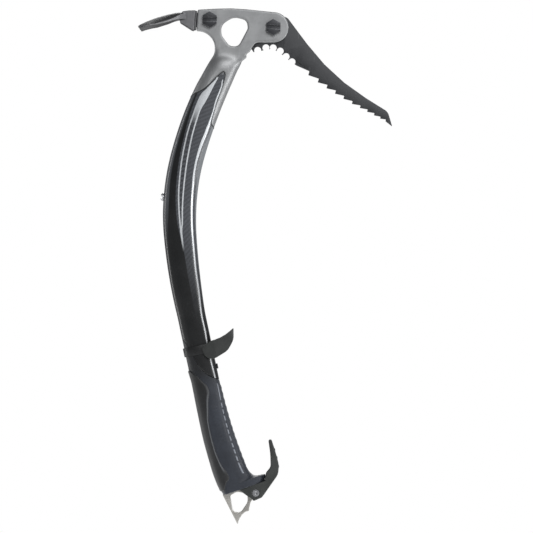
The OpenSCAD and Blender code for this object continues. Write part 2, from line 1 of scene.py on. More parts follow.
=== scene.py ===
import bisect
import math

import bpy
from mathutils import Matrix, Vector


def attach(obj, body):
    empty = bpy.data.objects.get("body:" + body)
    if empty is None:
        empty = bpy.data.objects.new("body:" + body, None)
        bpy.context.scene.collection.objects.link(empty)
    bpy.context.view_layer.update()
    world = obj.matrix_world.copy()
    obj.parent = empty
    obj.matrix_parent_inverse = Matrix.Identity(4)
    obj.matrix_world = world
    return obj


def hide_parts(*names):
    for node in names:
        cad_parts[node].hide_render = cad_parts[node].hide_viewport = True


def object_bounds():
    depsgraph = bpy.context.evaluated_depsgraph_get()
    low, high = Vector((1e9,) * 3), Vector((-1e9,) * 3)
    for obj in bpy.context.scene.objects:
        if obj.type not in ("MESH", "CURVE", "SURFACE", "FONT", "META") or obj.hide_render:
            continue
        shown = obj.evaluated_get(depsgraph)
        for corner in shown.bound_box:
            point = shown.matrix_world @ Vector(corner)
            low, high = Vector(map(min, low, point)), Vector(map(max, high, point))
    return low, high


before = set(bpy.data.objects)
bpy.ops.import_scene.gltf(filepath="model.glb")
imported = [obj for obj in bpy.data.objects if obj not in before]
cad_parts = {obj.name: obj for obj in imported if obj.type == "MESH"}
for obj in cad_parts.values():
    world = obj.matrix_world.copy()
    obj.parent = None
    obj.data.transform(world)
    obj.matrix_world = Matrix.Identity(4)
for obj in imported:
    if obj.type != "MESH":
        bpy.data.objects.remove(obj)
cad_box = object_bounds()
MM = 0.001

# ---- Camera, lights and floor ----
# The tool hangs by the eye in its head in front of a white room, and is seen square from its
# near side. A large soft box lights it from above left, two tall ones edge it from the sides.

bpy.ops.object.select_all(action="DESELECT")
view_width = 0.517
bpy.ops.object.camera_add(rotation=(math.pi / 2, 0, 0))
camera = bpy.context.object
camera.name = "camera"
camera.data.lens = 240
camera.data.sensor_width = 36
camera.location = (0.0315, -view_width * camera.data.lens / camera.data.sensor_width, -0.2265)
bpy.context.scene.camera = camera
bpy.context.scene.view_settings.view_transform = "Standard"


def soft_box(name, place, aim, width, height, power):
    """Rectangular soft box at a place, facing a point."""
    turn = (Vector(aim) - Vector(place)).to_track_quat("-Z", "Y").to_euler()
    bpy.ops.object.light_add(type="AREA", location=place, rotation=turn)
    light = bpy.context.object
    light.name = name
    light.data.shape = "RECTANGLE"
    light.data.size = width
    light.data.size_y = height
    light.data.energy = power
    light.visible_camera = False


middle = (0.02, 0, -0.21)
soft_box("key_light", (0.5, -1.8, 0.75), middle, 1.0, 0.8, 17)
soft_box("front_edge_light", (1.3, -0.6, -0.1), middle, 0.5, 1.5, 13)
soft_box("back_edge_light", (-1.3, 0.25, -0.2), middle, 0.3, 1.4, 6)
soft_box("far_side_light", (0.3, 1.6, 0.7), middle, 1.2, 0.9, 16)

room = bpy.data.worlds.new("white_room")
room.use_nodes = True
bpy.context.scene.world = room


def put(tree, kind, **settings):
    """New shader node of a kind, with its properties set."""
    made = tree.nodes.new("ShaderNode" + kind)
    for key, value in settings.items():
        setattr(made, key, value)
    return made


def feed(tree, value, socket):
    """Links another node's output to a socket, or sets the socket's own value."""
    if isinstance(value, bpy.types.NodeSocket):
        tree.links.new(value, socket)
    else:
        socket.default_value = value


sky = room.node_tree
seen = sky.nodes["Background"]
seen.inputs["Color"].default_value = (1, 1, 1, 1)
seen.inputs["Strength"].default_value = 1.0
ambient = put(sky, "Background")
ambient.inputs["Color"].default_value = (0.95, 0.97, 1, 1)
ambient.inputs["Strength"].default_value = 0.28
by_ray = put(sky, "MixShader")
feed(sky, put(sky, "LightPath").outputs["Is Camera Ray"], by_ray.inputs[0])
feed(sky, ambient.outputs[0], by_ray.inputs[1])
feed(sky, seen.outputs[0], by_ray.inputs[2])
feed(sky, by_ray.outputs[0], sky.nodes["World Output"].inputs["Surface"])

bpy.ops.mesh.primitive_plane_add(size=6, location=(0, 0, -0.95))
floor = bpy.context.object
floor.name = "floor"
floor_paint = bpy.data.materials.new("white_floor")
floor_paint.use_nodes = True
floor_paint.node_tree.nodes["Principled BSDF"].inputs["Base Color"].default_value = (0.9, 0.9, 0.9, 1)
floor_paint.node_tree.nodes["Principled BSDF"].inputs["Roughness"].default_value = 0.8
floor_paint.node_tree.nodes["Principled BSDF"].inputs["Emission Color"].default_value = (1, 1, 1, 1)
floor_paint.node_tree.nodes["Principled BSDF"].inputs["Emission Strength"].default_value = 0.55
floor.data.materials.append(floor_paint)

# ---- Head ----
# One forging of light alloy: a flat plate with the clip-in eye and a slot at each end, blending
# into an oval neck. The neck's lower end is a spigot that is bonded into the carbon tube.

foot = (-7.3, -435.3)
lean = math.radians(-11.9)
runs = [(162, 0)] + [(r * math.radians(turn), r) for r, turn in ((620, 7.5), (230, 19.7), (400, 12.7))]
runs += [(60, 0)]
oval_power = 0.83
tube_wall = 1.8
bead_height = 0.8
neck_top = 413
# Between these lengths the rings on the shaft are evenly spaced; past them they follow its ends
even_low, even_high = 166, 345
spigot_foot = 334
bond_gap = 0.12
neck_edge = 0.3
plate_foot = -34.5

depth_steps = [(165, 13.6), (200, 14.9), (240, 15.8), (270, 16.2), (350, 16.2), (385, 15.6),
               (405, 14.8), (430, 13.9)]
thick_steps = [(165, 10), (270, 11), (370, 11), (400, 10.6), (413, 10.2)]
arch_steps = [(0, 354.5), (41, 357.5), (47, 361.5), (55, 377), (58, 388), (65, 402), (73, 408.3),
              (81, 409.5), (86, 407.8), (91, 402.5), (98, 395), (112, 386.5), (135, 380.5), (180, 375)]


def follow(steps, x):
    """Smooth curve through the steps that never overshoots them."""
    places = [step[0] for step in steps]
    if x <= places[0]:
        return steps[0][1]
    if x >= places[-1]:
        return steps[-1][1]
    slopes = [(b[1] - a[1]) / (b[0] - a[0]) for a, b in zip(steps, steps[1:])]

    def tangent(k):
        if k in (0, len(slopes)):
            return slopes[min(k, len(slopes) - 1)]
        before, after = slopes[k - 1], slopes[k]
        return 0 if before * after <= 0 else 2 * before * after / (before + after)

    i = bisect.bisect_right(places, x) - 1
    span = places[i + 1] - places[i]
    t = (x - places[i]) / span
    return ((2 * t**3 - 3 * t**2 + 1) * steps[i][1] + (t**3 - 2 * t**2 + t) * span * tangent(i)
            + (3 * t**2 - 2 * t**3) * steps[i + 1][1] + (t**3 - t**2) * span * tangent(i + 1))


def centre(s):
    """Place x, z and heading of the shaft's centreline at length s from its foot."""
    x, z = foot
    heading = lean
    for i, (length, radius) in enumerate(runs):
        part = s if i == len(runs) - 1 else min(s, length)
        if radius:
            turned = heading + part / radius
            x += radius * (math.cos(heading) - math.cos(turned))
            z += radius * (math.sin(turned) - math.sin(heading))
            heading = turned
        else:
            x += part * math.sin(heading)
            z += part * math.cos(heading)
        s -= part
        if s <= 0:
            break
    return x, z, heading


def on_centre(s, front, side):
    """Point in space that lies front and side of the centreline at s."""
    x, z, heading = centre(s)
    return (x + front * math.cos(heading), side, z - front * math.sin(heading))


def bow(value):
    return math.copysign(abs(value) ** oval_power, value)


def oval(degrees, back, front, thick):
    """Point [front, side] of the squared oval section at an angle from its nose."""
    a = math.radians(degrees)
    return (front if math.cos(a) > 0 else back) * bow(math.cos(a)), -thick * bow(math.sin(a))


def shaft_point(s, degrees, inset=0.0):
    depth = follow(depth_steps, s) - inset
    return on_centre(s, *oval(degrees, depth, depth, follow(thick_steps, s) - inset))


def arch(degrees):
    """Length along the shaft where the carbon ends on the neck."""
    return follow(arch_steps, abs(degrees))


def blend(a, b, share):
    return a + (b - a) * share


def fractions(count):
    return [i / count for i in range(count + 1)]


def angles(*bands):
    """Angles once round, from the back, through bands of (end angle, step) on each half."""
    half = [0]
    for end, step in bands:
        count = round((end - half[-1]) / step)
        half += [blend(half[-1], end, i / count) for i in range(1, count + 1)]
    return [-a for a in reversed(half[1:])] + half[:-1]


def only(piece):
    """Leaves one object selected and active."""
    bpy.ops.object.select_all(action="DESELECT")
    piece.select_set(True)
    bpy.context.view_layer.objects.active = piece


def loft(name, rings, looped=False):
    """Closed skin through rings of points in millimetres; looped joins the last to the first."""
    n, m = len(rings[0]), len(rings)
    points = [[c * MM for c in p] for ring in rings for p in ring]
    faces = [(j * n + i, j * n + (i + 1) % n, (j + 1) % m * n + (i + 1) % n, (j + 1) % m * n + i)
             for j in range(m if looped else m - 1) for i in range(n)]
    if not looped:
        faces += [tuple(reversed(range(n))), tuple((m - 1) * n + i for i in range(n))]
    mesh = bpy.data.meshes.new(name)
    mesh.from_pydata(points, [], faces)
    piece = bpy.data.objects.new(name, mesh)
    bpy.context.scene.collection.objects.link(piece)
    only(piece)
    bpy.ops.object.mode_set(mode="EDIT")
    bpy.ops.mesh.select_all(action="SELECT")
    bpy.ops.mesh.normals_make_consistent(inside=False)
    bpy.ops.object.mode_set(mode="OBJECT")
    return piece


def cast(node, name, merge=0.004):
    """Copy of a CAD node with its corners merged."""
    piece = bpy.data.objects.new(name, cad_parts[node].data.copy())
    bpy.context.scene.collection.objects.link(piece)
    piece.data.materials.clear()
    only(piece)
    bpy.ops.mesh.customdata_custom_splitnormals_clear()
    bpy.ops.object.mode_set(mode="EDIT")
    bpy.ops.mesh.select_all(action="SELECT")
    bpy.ops.mesh.remove_doubles(threshold=merge * MM)
    bpy.ops.object.mode_set(mode="OBJECT")
    return piece


def apply(piece, kind, **settings):
    """Adds a modifier and applies it."""
    only(piece)
    modifier = piece.modifiers.new(kind.lower(), kind)
    for key, value in settings.items():
        setattr(modifier, key, value)
    bpy.ops.object.modifier_apply(modifier=modifier.name)


def forge(piece, voxel, soften):
    """Melts overlapping forms into one skin and rounds its corners."""
    apply(piece, "REMESH", mode="VOXEL", voxel_size=voxel * MM, use_smooth_shade=True)
    apply(piece, "SMOOTH", factor=0.5, iterations=soften)
    only(piece)
    bpy.ops.object.shade_smooth()


def shade(piece, degrees):
    """Shades a piece smooth, except across edges sharper than an angle."""
    only(piece)
    bpy.ops.object.shade_smooth_by_angle(angle=math.radians(degrees))


def join(pieces):
    """Joins several objects into the first."""
    bpy.ops.object.select_all(action="DESELECT")
    for piece in pieces:
        piece.select_set(True)
    bpy.context.view_layer.objects.active = pieces[0]
    bpy.ops.object.join()
    return pieces[0]


def fit(piece, node, finish, body="root"):
    """Gives a piece its finish, and lets it ride on a body in a CAD node's place."""
    piece.data.materials.clear()
    piece.data.materials.append(finish)
    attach(piece, body)
    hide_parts(node)


neck_angles = angles((40, 4), (100, 2), (180, 4))
neck_rings = [[shaft_point(s, a, tube_wall + bond_gap) for a in neck_angles]
              for s in (spigot_foot, even_high)]
for share in (0.33, 0.66, 1):
    neck_rings.append([shaft_point(blend(even_high, arch(a) + bead_height, share), a, tube_wall + bond_gap)
                       for a in neck_angles])
neck_rings.append([shaft_point(arch(a) + bead_height, a, neck_edge) for a in neck_angles])
for share in fractions(20):
    neck_rings.append([shaft_point(blend(arch(a) + bead_height + neck_edge, neck_top, share), a)
                       for a in neck_angles])
# The neck's last rings narrow and tilt until they end inside the plate
for s, tilt, thick, depth in ((415.5, 0.08, 10, 14.1), (418, 0.14, 9.6, 14.2), (420, 0.21, 9.1, 14),
                              (422, 0.27, 8.4, 13.8), (425, 0.27, 7, 13), (427, 0.27, 6, 11.5)):
    ring = [oval(a, depth, depth, thick) for a in neck_angles]
    neck_rings.append([on_centre(s + p[0] * tilt, *p) for p in ring])
neck = loft("neck", neck_rings)

head = cast("head", "head_forging")
bpy.ops.object.mode_set(mode="EDIT")
bpy.ops.mesh.select_all(action="SELECT")
bpy.ops.mesh.bisect(plane_co=(0, 0, plate_foot * MM), plane_no=(0, 0, 1), clear_inner=True, use_fill=True)
bpy.ops.object.mode_set(mode="OBJECT")
join([head, neck])
forge(head, 0.6, 6)
# The plate runs out into the neck without a crease, but the steps on its front edge stay sharp
easing = head.vertex_groups.new(name="easing")
for corner in head.data.vertices:
    x, z = corner.co.x / MM, corner.co.z / MM
    weight = min(1, max(0, (-14 - z) / 5)) * min(1, max(0, (z + 50) / 8)) * min(1, max(0, (7 - x) / 3))
    easing.add([corner.index], weight, "REPLACE")
apply(head, "SMOOTH", factor=0.5, iterations=170, vertex_group="easing")


def srgb(red, green, blue):
    """Linear colour of an sRGB one given from 0 to 255."""
    lin = [c / 255 for c in (red, green, blue)]
    lin = [c / 12.92 if c <= 0.04045 else ((c + 0.055) / 1.055) ** 2.4 for c in lin]
    return (*lin, 1)


def calc(tree, operation, *values, clamp=False):
    """Math node on sockets or numbers."""
    made = put(tree, "Math", operation=operation, use_clamp=clamp)
    for value, socket in zip(values, made.inputs):
        feed(tree, value, socket)
    return made.outputs[0]


def ramp(tree, value, low, high, start=0.0, stop=1.0):
    """Soft step of a value from start at low to stop at high."""
    made = put(tree, "MapRange", interpolation_type="SMOOTHSTEP")
    for given, socket in zip((value, low, high, start, stop), made.inputs):
        feed(tree, given, socket)
    return made.outputs[0]


def tint(tree, share, under, over, way="MIX"):
    """Colour mix of two colours by a share."""
    made = put(tree, "Mix", data_type="RGBA", blend_type=way)
    feed(tree, share, made.inputs[0])
    feed(tree, under, made.inputs[6])
    feed(tree, over, made.inputs[7])
    return made.outputs[2]


def noise(tree, vector, scale, detail=3.0, roughness=0.55):
    made = put(tree, "TexNoise")
    feed(tree, vector, made.inputs["Vector"])
    feed(tree, scale, made.inputs["Scale"])
    feed(tree, detail, made.inputs["Detail"])
    feed(tree, roughness, made.inputs["Roughness"])
    return made.outputs["Fac"]


def stretch(tree, vector, scale, turn=(0, 0, 0)):
    made = put(tree, "Mapping")
    feed(tree, vector, made.inputs["Vector"])
    made.inputs["Rotation"].default_value = turn
    made.inputs["Scale"].default_value = scale
    return made.outputs[0]


def shader_group(name, takes, gives):
    """Empty node group with float inputs {name: value} and float outputs; returns its parts."""
    group = bpy.data.node_groups.new(name, "ShaderNodeTree")
    for label, value in takes.items():
        kind = "NodeSocketVector" if isinstance(value, tuple) else "NodeSocketFloat"
        group.interface.new_socket(label, in_out="INPUT", socket_type=kind).default_value = value
    for label in gives:
        group.interface.new_socket(label, in_out="OUTPUT", socket_type="NodeSocketFloat")
    return group, group.nodes.new("NodeGroupInput").outputs, group.nodes.new("NodeGroupOutput").inputs


# Grain: fine tooth of a blasted, cast or moulded skin, with slow mottling under it
grain_group, given, result = shader_group("Surface grain", {"Fine": 2500.0, "Coarse": 60.0},
                                          ["Tooth", "Mottle", "Pits"])
space = put(grain_group, "TexCoord").outputs["Object"]
feed(grain_group, noise(grain_group, space, given["Fine"], 2.0), result["Tooth"])
feed(grain_group, noise(grain_group, space, given["Coarse"], 4.0, 0.6), result["Mottle"])
pits = put(grain_group, "TexVoronoi", feature="F1")
feed(grain_group, space, pits.inputs["Vector"])
feed(grain_group, calc(grain_group, "MULTIPLY", given["Fine"], 0.35), pits.inputs["Scale"])
feed(grain_group, ramp(grain_group, pits.outputs["Distance"], 0.12, 0.3, 1, 0), result["Pits"])

# Worn edges: corners rub bright, more in some places than others
wear_group, given, result = shader_group("Worn edges", {"Radius": 0.0008, "Amount": 0.5}, ["Mask"])
space = put(wear_group, "TexCoord").outputs["Object"]
corner = put(wear_group, "Bevel", samples=6)
feed(wear_group, given["Radius"], corner.inputs["Radius"])
turn = put(wear_group, "VectorMath", operation="DOT_PRODUCT")
feed(wear_group, corner.outputs["Normal"], turn.inputs[0])
feed(wear_group, put(wear_group, "NewGeometry").outputs["Normal"], turn.inputs[1])
edge = ramp(wear_group, turn.outputs["Value"], 0.995, 0.9)
patch = ramp(wear_group, noise(wear_group, space, 180.0, 4.0, 0.65), 0.3, 0.7, 0.35, 1)
patchy = calc(wear_group, "MULTIPLY", edge, patch)
feed(wear_group, calc(wear_group, "MULTIPLY", patchy, given["Amount"], clamp=True), result["Mask"])

# Scratches: sparse fine lines left by rock, ice and the rack, in two directions
scratch_group, given, result = shader_group("Scratches", {"Scale": 40.0, "Cover": 0.5}, ["Mask"])
space = put(scratch_group, "TexCoord").outputs["Object"]
lines = []
for turn_y, shift in ((0.5, 30.0), (-0.9, 41.0)):
    path = stretch(scratch_group, space, (shift, 1.0, 1.0), (0, turn_y, 0))
    lines.append(ramp(scratch_group, noise(scratch_group, path, given["Scale"], 2.0, 0.4), 0.68, 0.72))
both = calc(scratch_group, "MAXIMUM", *lines)
gaps = ramp(scratch_group, noise(scratch_group, space, 90.0), 0.45, 0.6)
broken = calc(scratch_group, "MULTIPLY", both, gaps)
feed(scratch_group, calc(scratch_group, "MULTIPLY", broken, given["Cover"]), result["Mask"])


def paint(name):
    """New material; returns it with its node tree and its Principled shader's sockets."""
    made = bpy.data.materials.new(name)
    made.use_nodes = True
    return made, made.node_tree, made.node_tree.nodes["Principled BSDF"].inputs


def grouped(tree, group, **values):
    """Places a node group with its own values; returns its outputs."""
    made = put(tree, "Group", node_tree=group)
    for key, value in values.items():
        feed(tree, value, made.inputs[key.capitalize()])
    return made.outputs


def bumped(tree, surface, *layers):
    """Bump nodes in a row, each (height, distance in mm, strength), into the normal."""
    last = None
    for height, distance, strength in layers:
        bump = put(tree, "Bump")
        bump.inputs["Strength"].default_value = strength
        bump.inputs["Distance"].default_value = distance * MM
        feed(tree, height, bump.inputs["Height"])
        if last:
            feed(tree, last, bump.inputs["Normal"])
        last = bump.outputs["Normal"]
    feed(tree, last, surface["Normal"])


def metal(name, dark, light, bare, shine, metallic, tooth, wear, fine=2200.0, scratch=0.3):
    """Metal finish: mottled body colour between dark and light, bare metal on its worn edges,
    shine as (polished, dull) roughness and tooth as the grain's height in millimetres."""
    made, tree, surface = paint(name)
    grain = grouped(tree, grain_group, fine=fine, coarse=70.0)
    worn = grouped(tree, wear_group, radius=0.0007, amount=wear)["Mask"]
    cut = grouped(tree, scratch_group, scale=38.0, cover=scratch)["Mask"]
    rubbed = calc(tree, "MAXIMUM", worn, cut)
    body = tint(tree, ramp(tree, grain["Mottle"], 0.3, 0.7), dark, light)
    body = tint(tree, calc(tree, "MULTIPLY", grain["Pits"], 0.25), body, dark)
    feed(tree, tint(tree, rubbed, body, bare), surface["Base Color"])
    dull = ramp(tree, grain["Mottle"], 0.25, 0.75, shine[0] + 0.04, shine[1])
    feed(tree, calc(tree, "SUBTRACT", dull, calc(tree, "MULTIPLY", rubbed, 0.12)), surface["Roughness"])
    surface["Metallic"].default_value = metallic
    bumped(tree, surface, (grain["Mottle"], 0.05, 0.2), (grain["Tooth"], tooth, 0.5), (rubbed, -0.01, 0.3))
    return made


head_finish = metal("blasted_alloy", srgb(133, 134, 135), srgb(146, 147, 148), srgb(190, 191, 193),
                    (0.38, 0.46), 0.75, 0.03, 0.35)
fit(head, "head", head_finish)

# ---- Pick ----
# A plate of tough steel, cut and ground: round gullets under the head, then a row of teeth to
# the tip. It thins towards the tip past a faint ground line, and it is left dark from hardening.

pick = cast("pick", "pick_blade", merge=0.3)
bpy.ops.object.mode_set(mode="EDIT")
bpy.ops.mesh.select_all(action="SELECT")
# The plate thins past a line across it, by a share of its thickness for each metre beyond
ground_at = Vector((58.5, 0, 5)) * MM
ground_way = Vector((0.9, 0, -0.44)).normalized()
ground_taper = 4.2
bpy.ops.mesh.bisect(plane_co=ground_at, plane_no=ground_way)
bpy.ops.object.mode_set(mode="OBJECT")
for corner in pick.data.vertices:
    past = max(0.0, (corner.co - ground_at).dot(ground_way))
    corner.co.y *= 1 - ground_taper * past
apply(pick, "BEVEL", width=0.45 * MM, segments=2, limit_method="ANGLE", angle_limit=math.radians(40),
      use_clamp_overlap=False)
shade(pick, 28)

pick_finish = metal("hardened_steel", srgb(50, 51, 53), srgb(60, 61, 63), srgb(130, 131, 133),
                    (0.42, 0.56), 0.55, 0.03, 0.35)
fit(pick, "pick", pick_finish)

# ---- Adze ----
# A forged chisel blade with a crowned top and drooping sides, on a block that butts against the
# head and a tang in the head's slot. The crown keeps its dark scale, the sides are rubbed, and
# the underside is darkened with painted shade.

adze_width = 46
adze_droop = 6.5
adze_tip, adze_root = -93, -46
corner_rake = 2.5
# Along the blade: crown height, half width as a share, droop as a share, thickness
crown_steps = [(adze_tip, 6.7), (-89, 9), (-83, 11.7), (-75, 14.7), (-67, 17.2), (-59, 19.1), (-52, 20),
               (adze_root, 19.5)]
spread_steps = [(adze_tip, 1), (-89, 0.99), (-83, 0.95), (-75, 0.86), (-67, 0.7), (-59, 0.5), (-52, 0.34),
                (adze_root, 0.26)]
droop_steps = [(adze_tip, 0.5), (-89, 0.58), (-83, 0.72), (-75, 0.92), (-67, 0.92), (-59, 0.72), (-52, 0.3),
               (adze_root, 0.05)]
blade_steps = [(adze_tip, 1.4), (-89, 2), (-83, 2.6), (-75, 3), (-67, 3.6), (-59, 4.6), (-52, 8.2),
               (adze_root, 10)]
across = [i / 12 - 1 for i in range(25)]
blade_rings = []
for share in fractions(38):
    x = blend(adze_root, adze_tip, share)
    spread, crown = follow(spread_steps, x), follow(crown_steps, x)
    half, sag = adze_width / 2 * spread, adze_droop * follow(droop_steps, x)
    thick = follow(blade_steps, x)
    top = [(x + corner_rake * u * u * spread, u * half, crown - sag * u * u) for u in across]
    under = [(p[0], p[1], p[2] - thick * (1 - 0.35 * u * u)) for p, u in zip(top, across)]
    blade_rings.append(top + under[::-1])
blade = loft("adze_edge", blade_rings)


def slab(name, outline, thickness):
    """Plate with an outline of x, z corners in millimetres, centred across the tool."""
    mesh = bpy.data.meshes.new(name)
    mesh.from_pydata([(x * MM, -thickness / 2 * MM, z * MM) for x, z in outline], [], [range(len(outline))])
    piece = bpy.data.objects.new(name, mesh)
    bpy.context.scene.collection.objects.link(piece)
    only(piece)
    bpy.ops.object.mode_set(mode="EDIT")
    bpy.ops.mesh.select_all(action="SELECT")
    bpy.ops.mesh.extrude_region_move(TRANSFORM_OT_translate={"value": (0, thickness * MM, 0)})
    bpy.ops.mesh.select_all(action="SELECT")
    bpy.ops.mesh.normals_make_consistent(inside=False)
    bpy.ops.object.mode_set(mode="OBJECT")
    return piece


block = slab("adze_block", [(-37.2, 21.7), (-44, 21.5), (-50, 20.6), (-52.6, 12), (-52, 9.4), (-49, 7.6),
                            (-45, 5), (-40.6, 2.2), (-38.7, 2)], 13)
shoulder = slab("adze_shoulder", [(-35.5, 21.3), (-45, 21), (-45, 5), (-40.6, 2.8), (-36.9, 2.6)], 7)
tang = slab("adze_tang", [(-44, 6), (-44, 19), (-24, 19), (-19, 17.5), (-17, 14.5), (-17, 10.5), (-19, 7.5),
                          (-24, 6)], 4)
adze = join([block, blade, shoulder, tang])
adze.name = "adze_blade"
forge(adze, 0.33, 8)

# Share of darkening at each point, in the attribute named scale: painted shade over the whole underside, dark
# scale worn on the crown, rubbed off the sides
scale_and_shade_share = adze.data.attributes.new("scale", "FLOAT", "POINT")
for i, corner in enumerate(adze.data.vertices):
    up = corner.normal.z
    scale_and_shade_share.data[i].value = min(0.72, 1.44 * (up - 0.35)) if up > 0.35 else max(0, min(0.95, -2 * up))
adze_finish = metal("forged_steel", srgb(98, 98, 100), srgb(114, 114, 116), srgb(186, 187, 189),
                    (0.36, 0.5), 0.7, 0.03, 0.45, fine=1800.0, scratch=0.3)
tree = adze_finish.node_tree
surface = tree.nodes["Principled BSDF"].inputs
# The dark tint is painted shade on the underside and dark scale on the crown
scale_and_shade = put(tree, "Attribute", attribute_name="scale").outputs["Fac"]
side_colour = surface["Base Color"].links[0].from_socket
feed(tree, tint(tree, scale_and_shade, side_colour, srgb(40, 40, 42)), surface["Base Color"])
fit(adze, "adze", adze_finish)

# ---- Head bolts and nuts ----
# Blackened hexagon bolts with a wide screwdriver slot clamp the pick and the adze in the head,
# and their nuts sit on the far side. Wrenches have rubbed the corners of the hexagons.

bolt_finish = metal("blackened_bolt", srgb(46, 47, 50), srgb(60, 61, 64), srgb(150, 151, 154),
                    (0.3, 0.42), 0.6, 0.02, 0.6, fine=2600.0, scratch=0.2)
for node in ("pick_bolt", "pick_nut", "adze_bolt", "adze_nut"):
    hexagon = cast(node, node + "_hex", merge=0.02)
    apply(hexagon, "BEVEL", width=0.6 * MM, segments=3, limit_method="ANGLE", angle_limit=math.radians(32))
    shade(hexagon, 30)
    fit(hexagon, node, bolt_finish)

# ---- Shaft ----
# A curved tube of twill carbon under clear lacquer. Black paint covers its back and lower half,
# silver pinstripes edge the bare weave, and a silver wedge fills the arch below the neck.

edge_steps = [(0, 98.5), (33, 100), (77, 105.5), (97, 114), (140, 140.5), (180, 146)]
seat_depth, seat_thick = 11.3, 8.4
round_tube = angles((40, 4), (112, 2), (180, 4))


def seat_point(s, degrees, inset=0.0):
    return on_centre(s, *oval(degrees, seat_depth - inset, seat_depth - inset, seat_thick - inset))


def grip_edge(degrees):
    """Length along the shaft where the grip ends."""
    return follow(edge_steps, abs(degrees))


# Rings up the outside and back down the bore: length along the shaft at each angle, surface, inset
tube = [(lambda a, s=s: s, seat_point, 0) for s in (30, 55, 80)]
tube += [(lambda a, v=v: blend(80, grip_edge(a), v), seat_point, 0) for v in (0.5, 1)]
tube += [(lambda a, d=d: grip_edge(a) + d, shaft_point, inset)
         for d, inset in ((0, 0.7), (0.05, 0.35), (0.2, 0.1), (0.5, 0))]
tube += [(lambda a, v=v: blend(grip_edge(a) + 0.5, even_low, v), shaft_point, 0) for v in fractions(24)[1:]]
tube += [(lambda a, s=s: s, shaft_point, 0) for s in range(even_low + 3, even_high + 1, 3)]
tube += [(lambda a, v=v: blend(even_high, arch(a) - 0.4, v), shaft_point, 0) for v in fractions(24)[1:]]
tube += [(lambda a, d=d: arch(a) - d, shaft_point, inset) for d, inset in ((0.12, 0.1), (0, 0.4))]
tube += [(lambda a, v=v: blend(even_high, arch(a), v), shaft_point, tube_wall) for v in (1, 0.66, 0.33, 0)]
tube += [(lambda a, s=s: s, shaft_point, tube_wall) for s in range(325, 165, -20)]
tube += [(lambda a, s=s: s, seat_point, tube_wall) for s in (150, 90, 30)]
shaft = loft("shaft_tube", [[point(place(a), a, inset) for a in round_tube] for place, point, inset in tube],
             looped=True)
shade(shaft, 40)

# Two maps on the tube: "side" has front offset and length, "wrap" has distance round and length
usual_depth, usual_thick = 15, 10.5
section = [Vector(oval(a, usual_depth, usual_depth, usual_thick)) for a in round_tube + [180]]
round_steps = [0.0]
for before, after in zip(section, section[1:]):
    round_steps.append(round_steps[-1] + (after - before).length)
side_map, wrap_map = (shaft.data.uv_layers.new(name=label) for label in ("side", "wrap"))
per_ring = len(round_tube)
along_points = [place(a) for place, point, inset in tube for a in round_tube]
for face in shaft.data.polygons:
    columns = {shaft.data.loops[k].vertex_index % per_ring for k in face.loop_indices}
    for k in face.loop_indices:
        v = shaft.data.loops[k].vertex_index
        column = v % per_ring
        if column == 0 and per_ring - 1 in columns:
            column = per_ring
        s = along_points[v]
        depth = follow(depth_steps, s)
        front = oval(round_tube[v % per_ring], depth, depth, 1)[0]
        side_map.data[k].uv = (front * MM, s * MM)
        wrap_map.data[k].uv = (round_steps[column] * MM, s * MM)

# Twill: each tow of fibre passes over two and under two, a step further on each row
twill_group, given, result = shader_group("Twill weave", {"Map": (0.0, 0.0, 0.0), "Tow": 0.0017},
                                          ["Over", "Height", "Shade"])
cells = put(twill_group, "VectorMath", operation="SCALE")
feed(twill_group, given["Map"], cells.inputs[0])
feed(twill_group, calc(twill_group, "DIVIDE", 1.0, given["Tow"]), cells.inputs["Scale"])
split = put(twill_group, "SeparateXYZ")
feed(twill_group, cells.outputs[0], split.inputs[0])
column, row = (calc(twill_group, "FLOOR", split.outputs[k]) for k in (0, 1))
turn = calc(twill_group, "FLOORED_MODULO", calc(twill_group, "ADD", column, row), 4.0)
over = calc(twill_group, "LESS_THAN", turn, 1.5)
humps = []
for k in (0, 1):
    middle_off = calc(twill_group, "SUBTRACT", calc(twill_group, "FRACT", split.outputs[k]), 0.5)
    squared = calc(twill_group, "POWER", calc(twill_group, "ABSOLUTE", middle_off), 2.0)
    humps.append(calc(twill_group, "SUBTRACT", 1.0, calc(twill_group, "MULTIPLY", squared, 4.0)))
hump = put(twill_group, "Mix", data_type="FLOAT")
for value, socket in zip((over, humps[1], humps[0]), hump.inputs):
    feed(twill_group, value, socket)
corner_of = put(twill_group, "CombineXYZ")
feed(twill_group, column, corner_of.inputs[0])
feed(twill_group, row, corner_of.inputs[1])
chance = put(twill_group, "TexWhiteNoise", noise_dimensions="2D")
feed(twill_group, corner_of.outputs[0], chance.inputs["Vector"])
feed(twill_group, over, result["Over"])
feed(twill_group, hump.outputs[0], result["Height"])
feed(twill_group, chance.outputs["Value"], result["Shade"])

# Pinstripe: a painted line of a width about a centre, with soft sides
band_group, given, result = shader_group("Pinstripe", {"Across": 0.0, "Centre": 0.0, "Width": 0.0012,
                                                       "Soft": 0.0002}, ["Mask"])
away = calc(band_group, "ABSOLUTE", calc(band_group, "SUBTRACT", given["Across"], given["Centre"]))
half_width = calc(band_group, "MULTIPLY", given["Width"], 0.5)
beyond = calc(band_group, "SUBTRACT", away, half_width)
feed(band_group, ramp(band_group, beyond, given["Soft"], 0.0), result["Mask"])

shaft_finish, tree, surface = paint("lacquered_carbon")
side_uv = put(tree, "UVMap", uv_map="side").outputs[0]
wrap_uv = put(tree, "UVMap", uv_map="wrap").outputs[0]
side = put(tree, "SeparateXYZ")
feed(tree, side_uv, side.inputs[0])
front, length = side.outputs[0], side.outputs[1]
low_s, high_s, low_off, high_off = 0.090, 0.412, -0.014, 0.016
scaled_length = ramp(tree, length, low_s, high_s)
tree.nodes[-1].interpolation_type = "LINEAR"


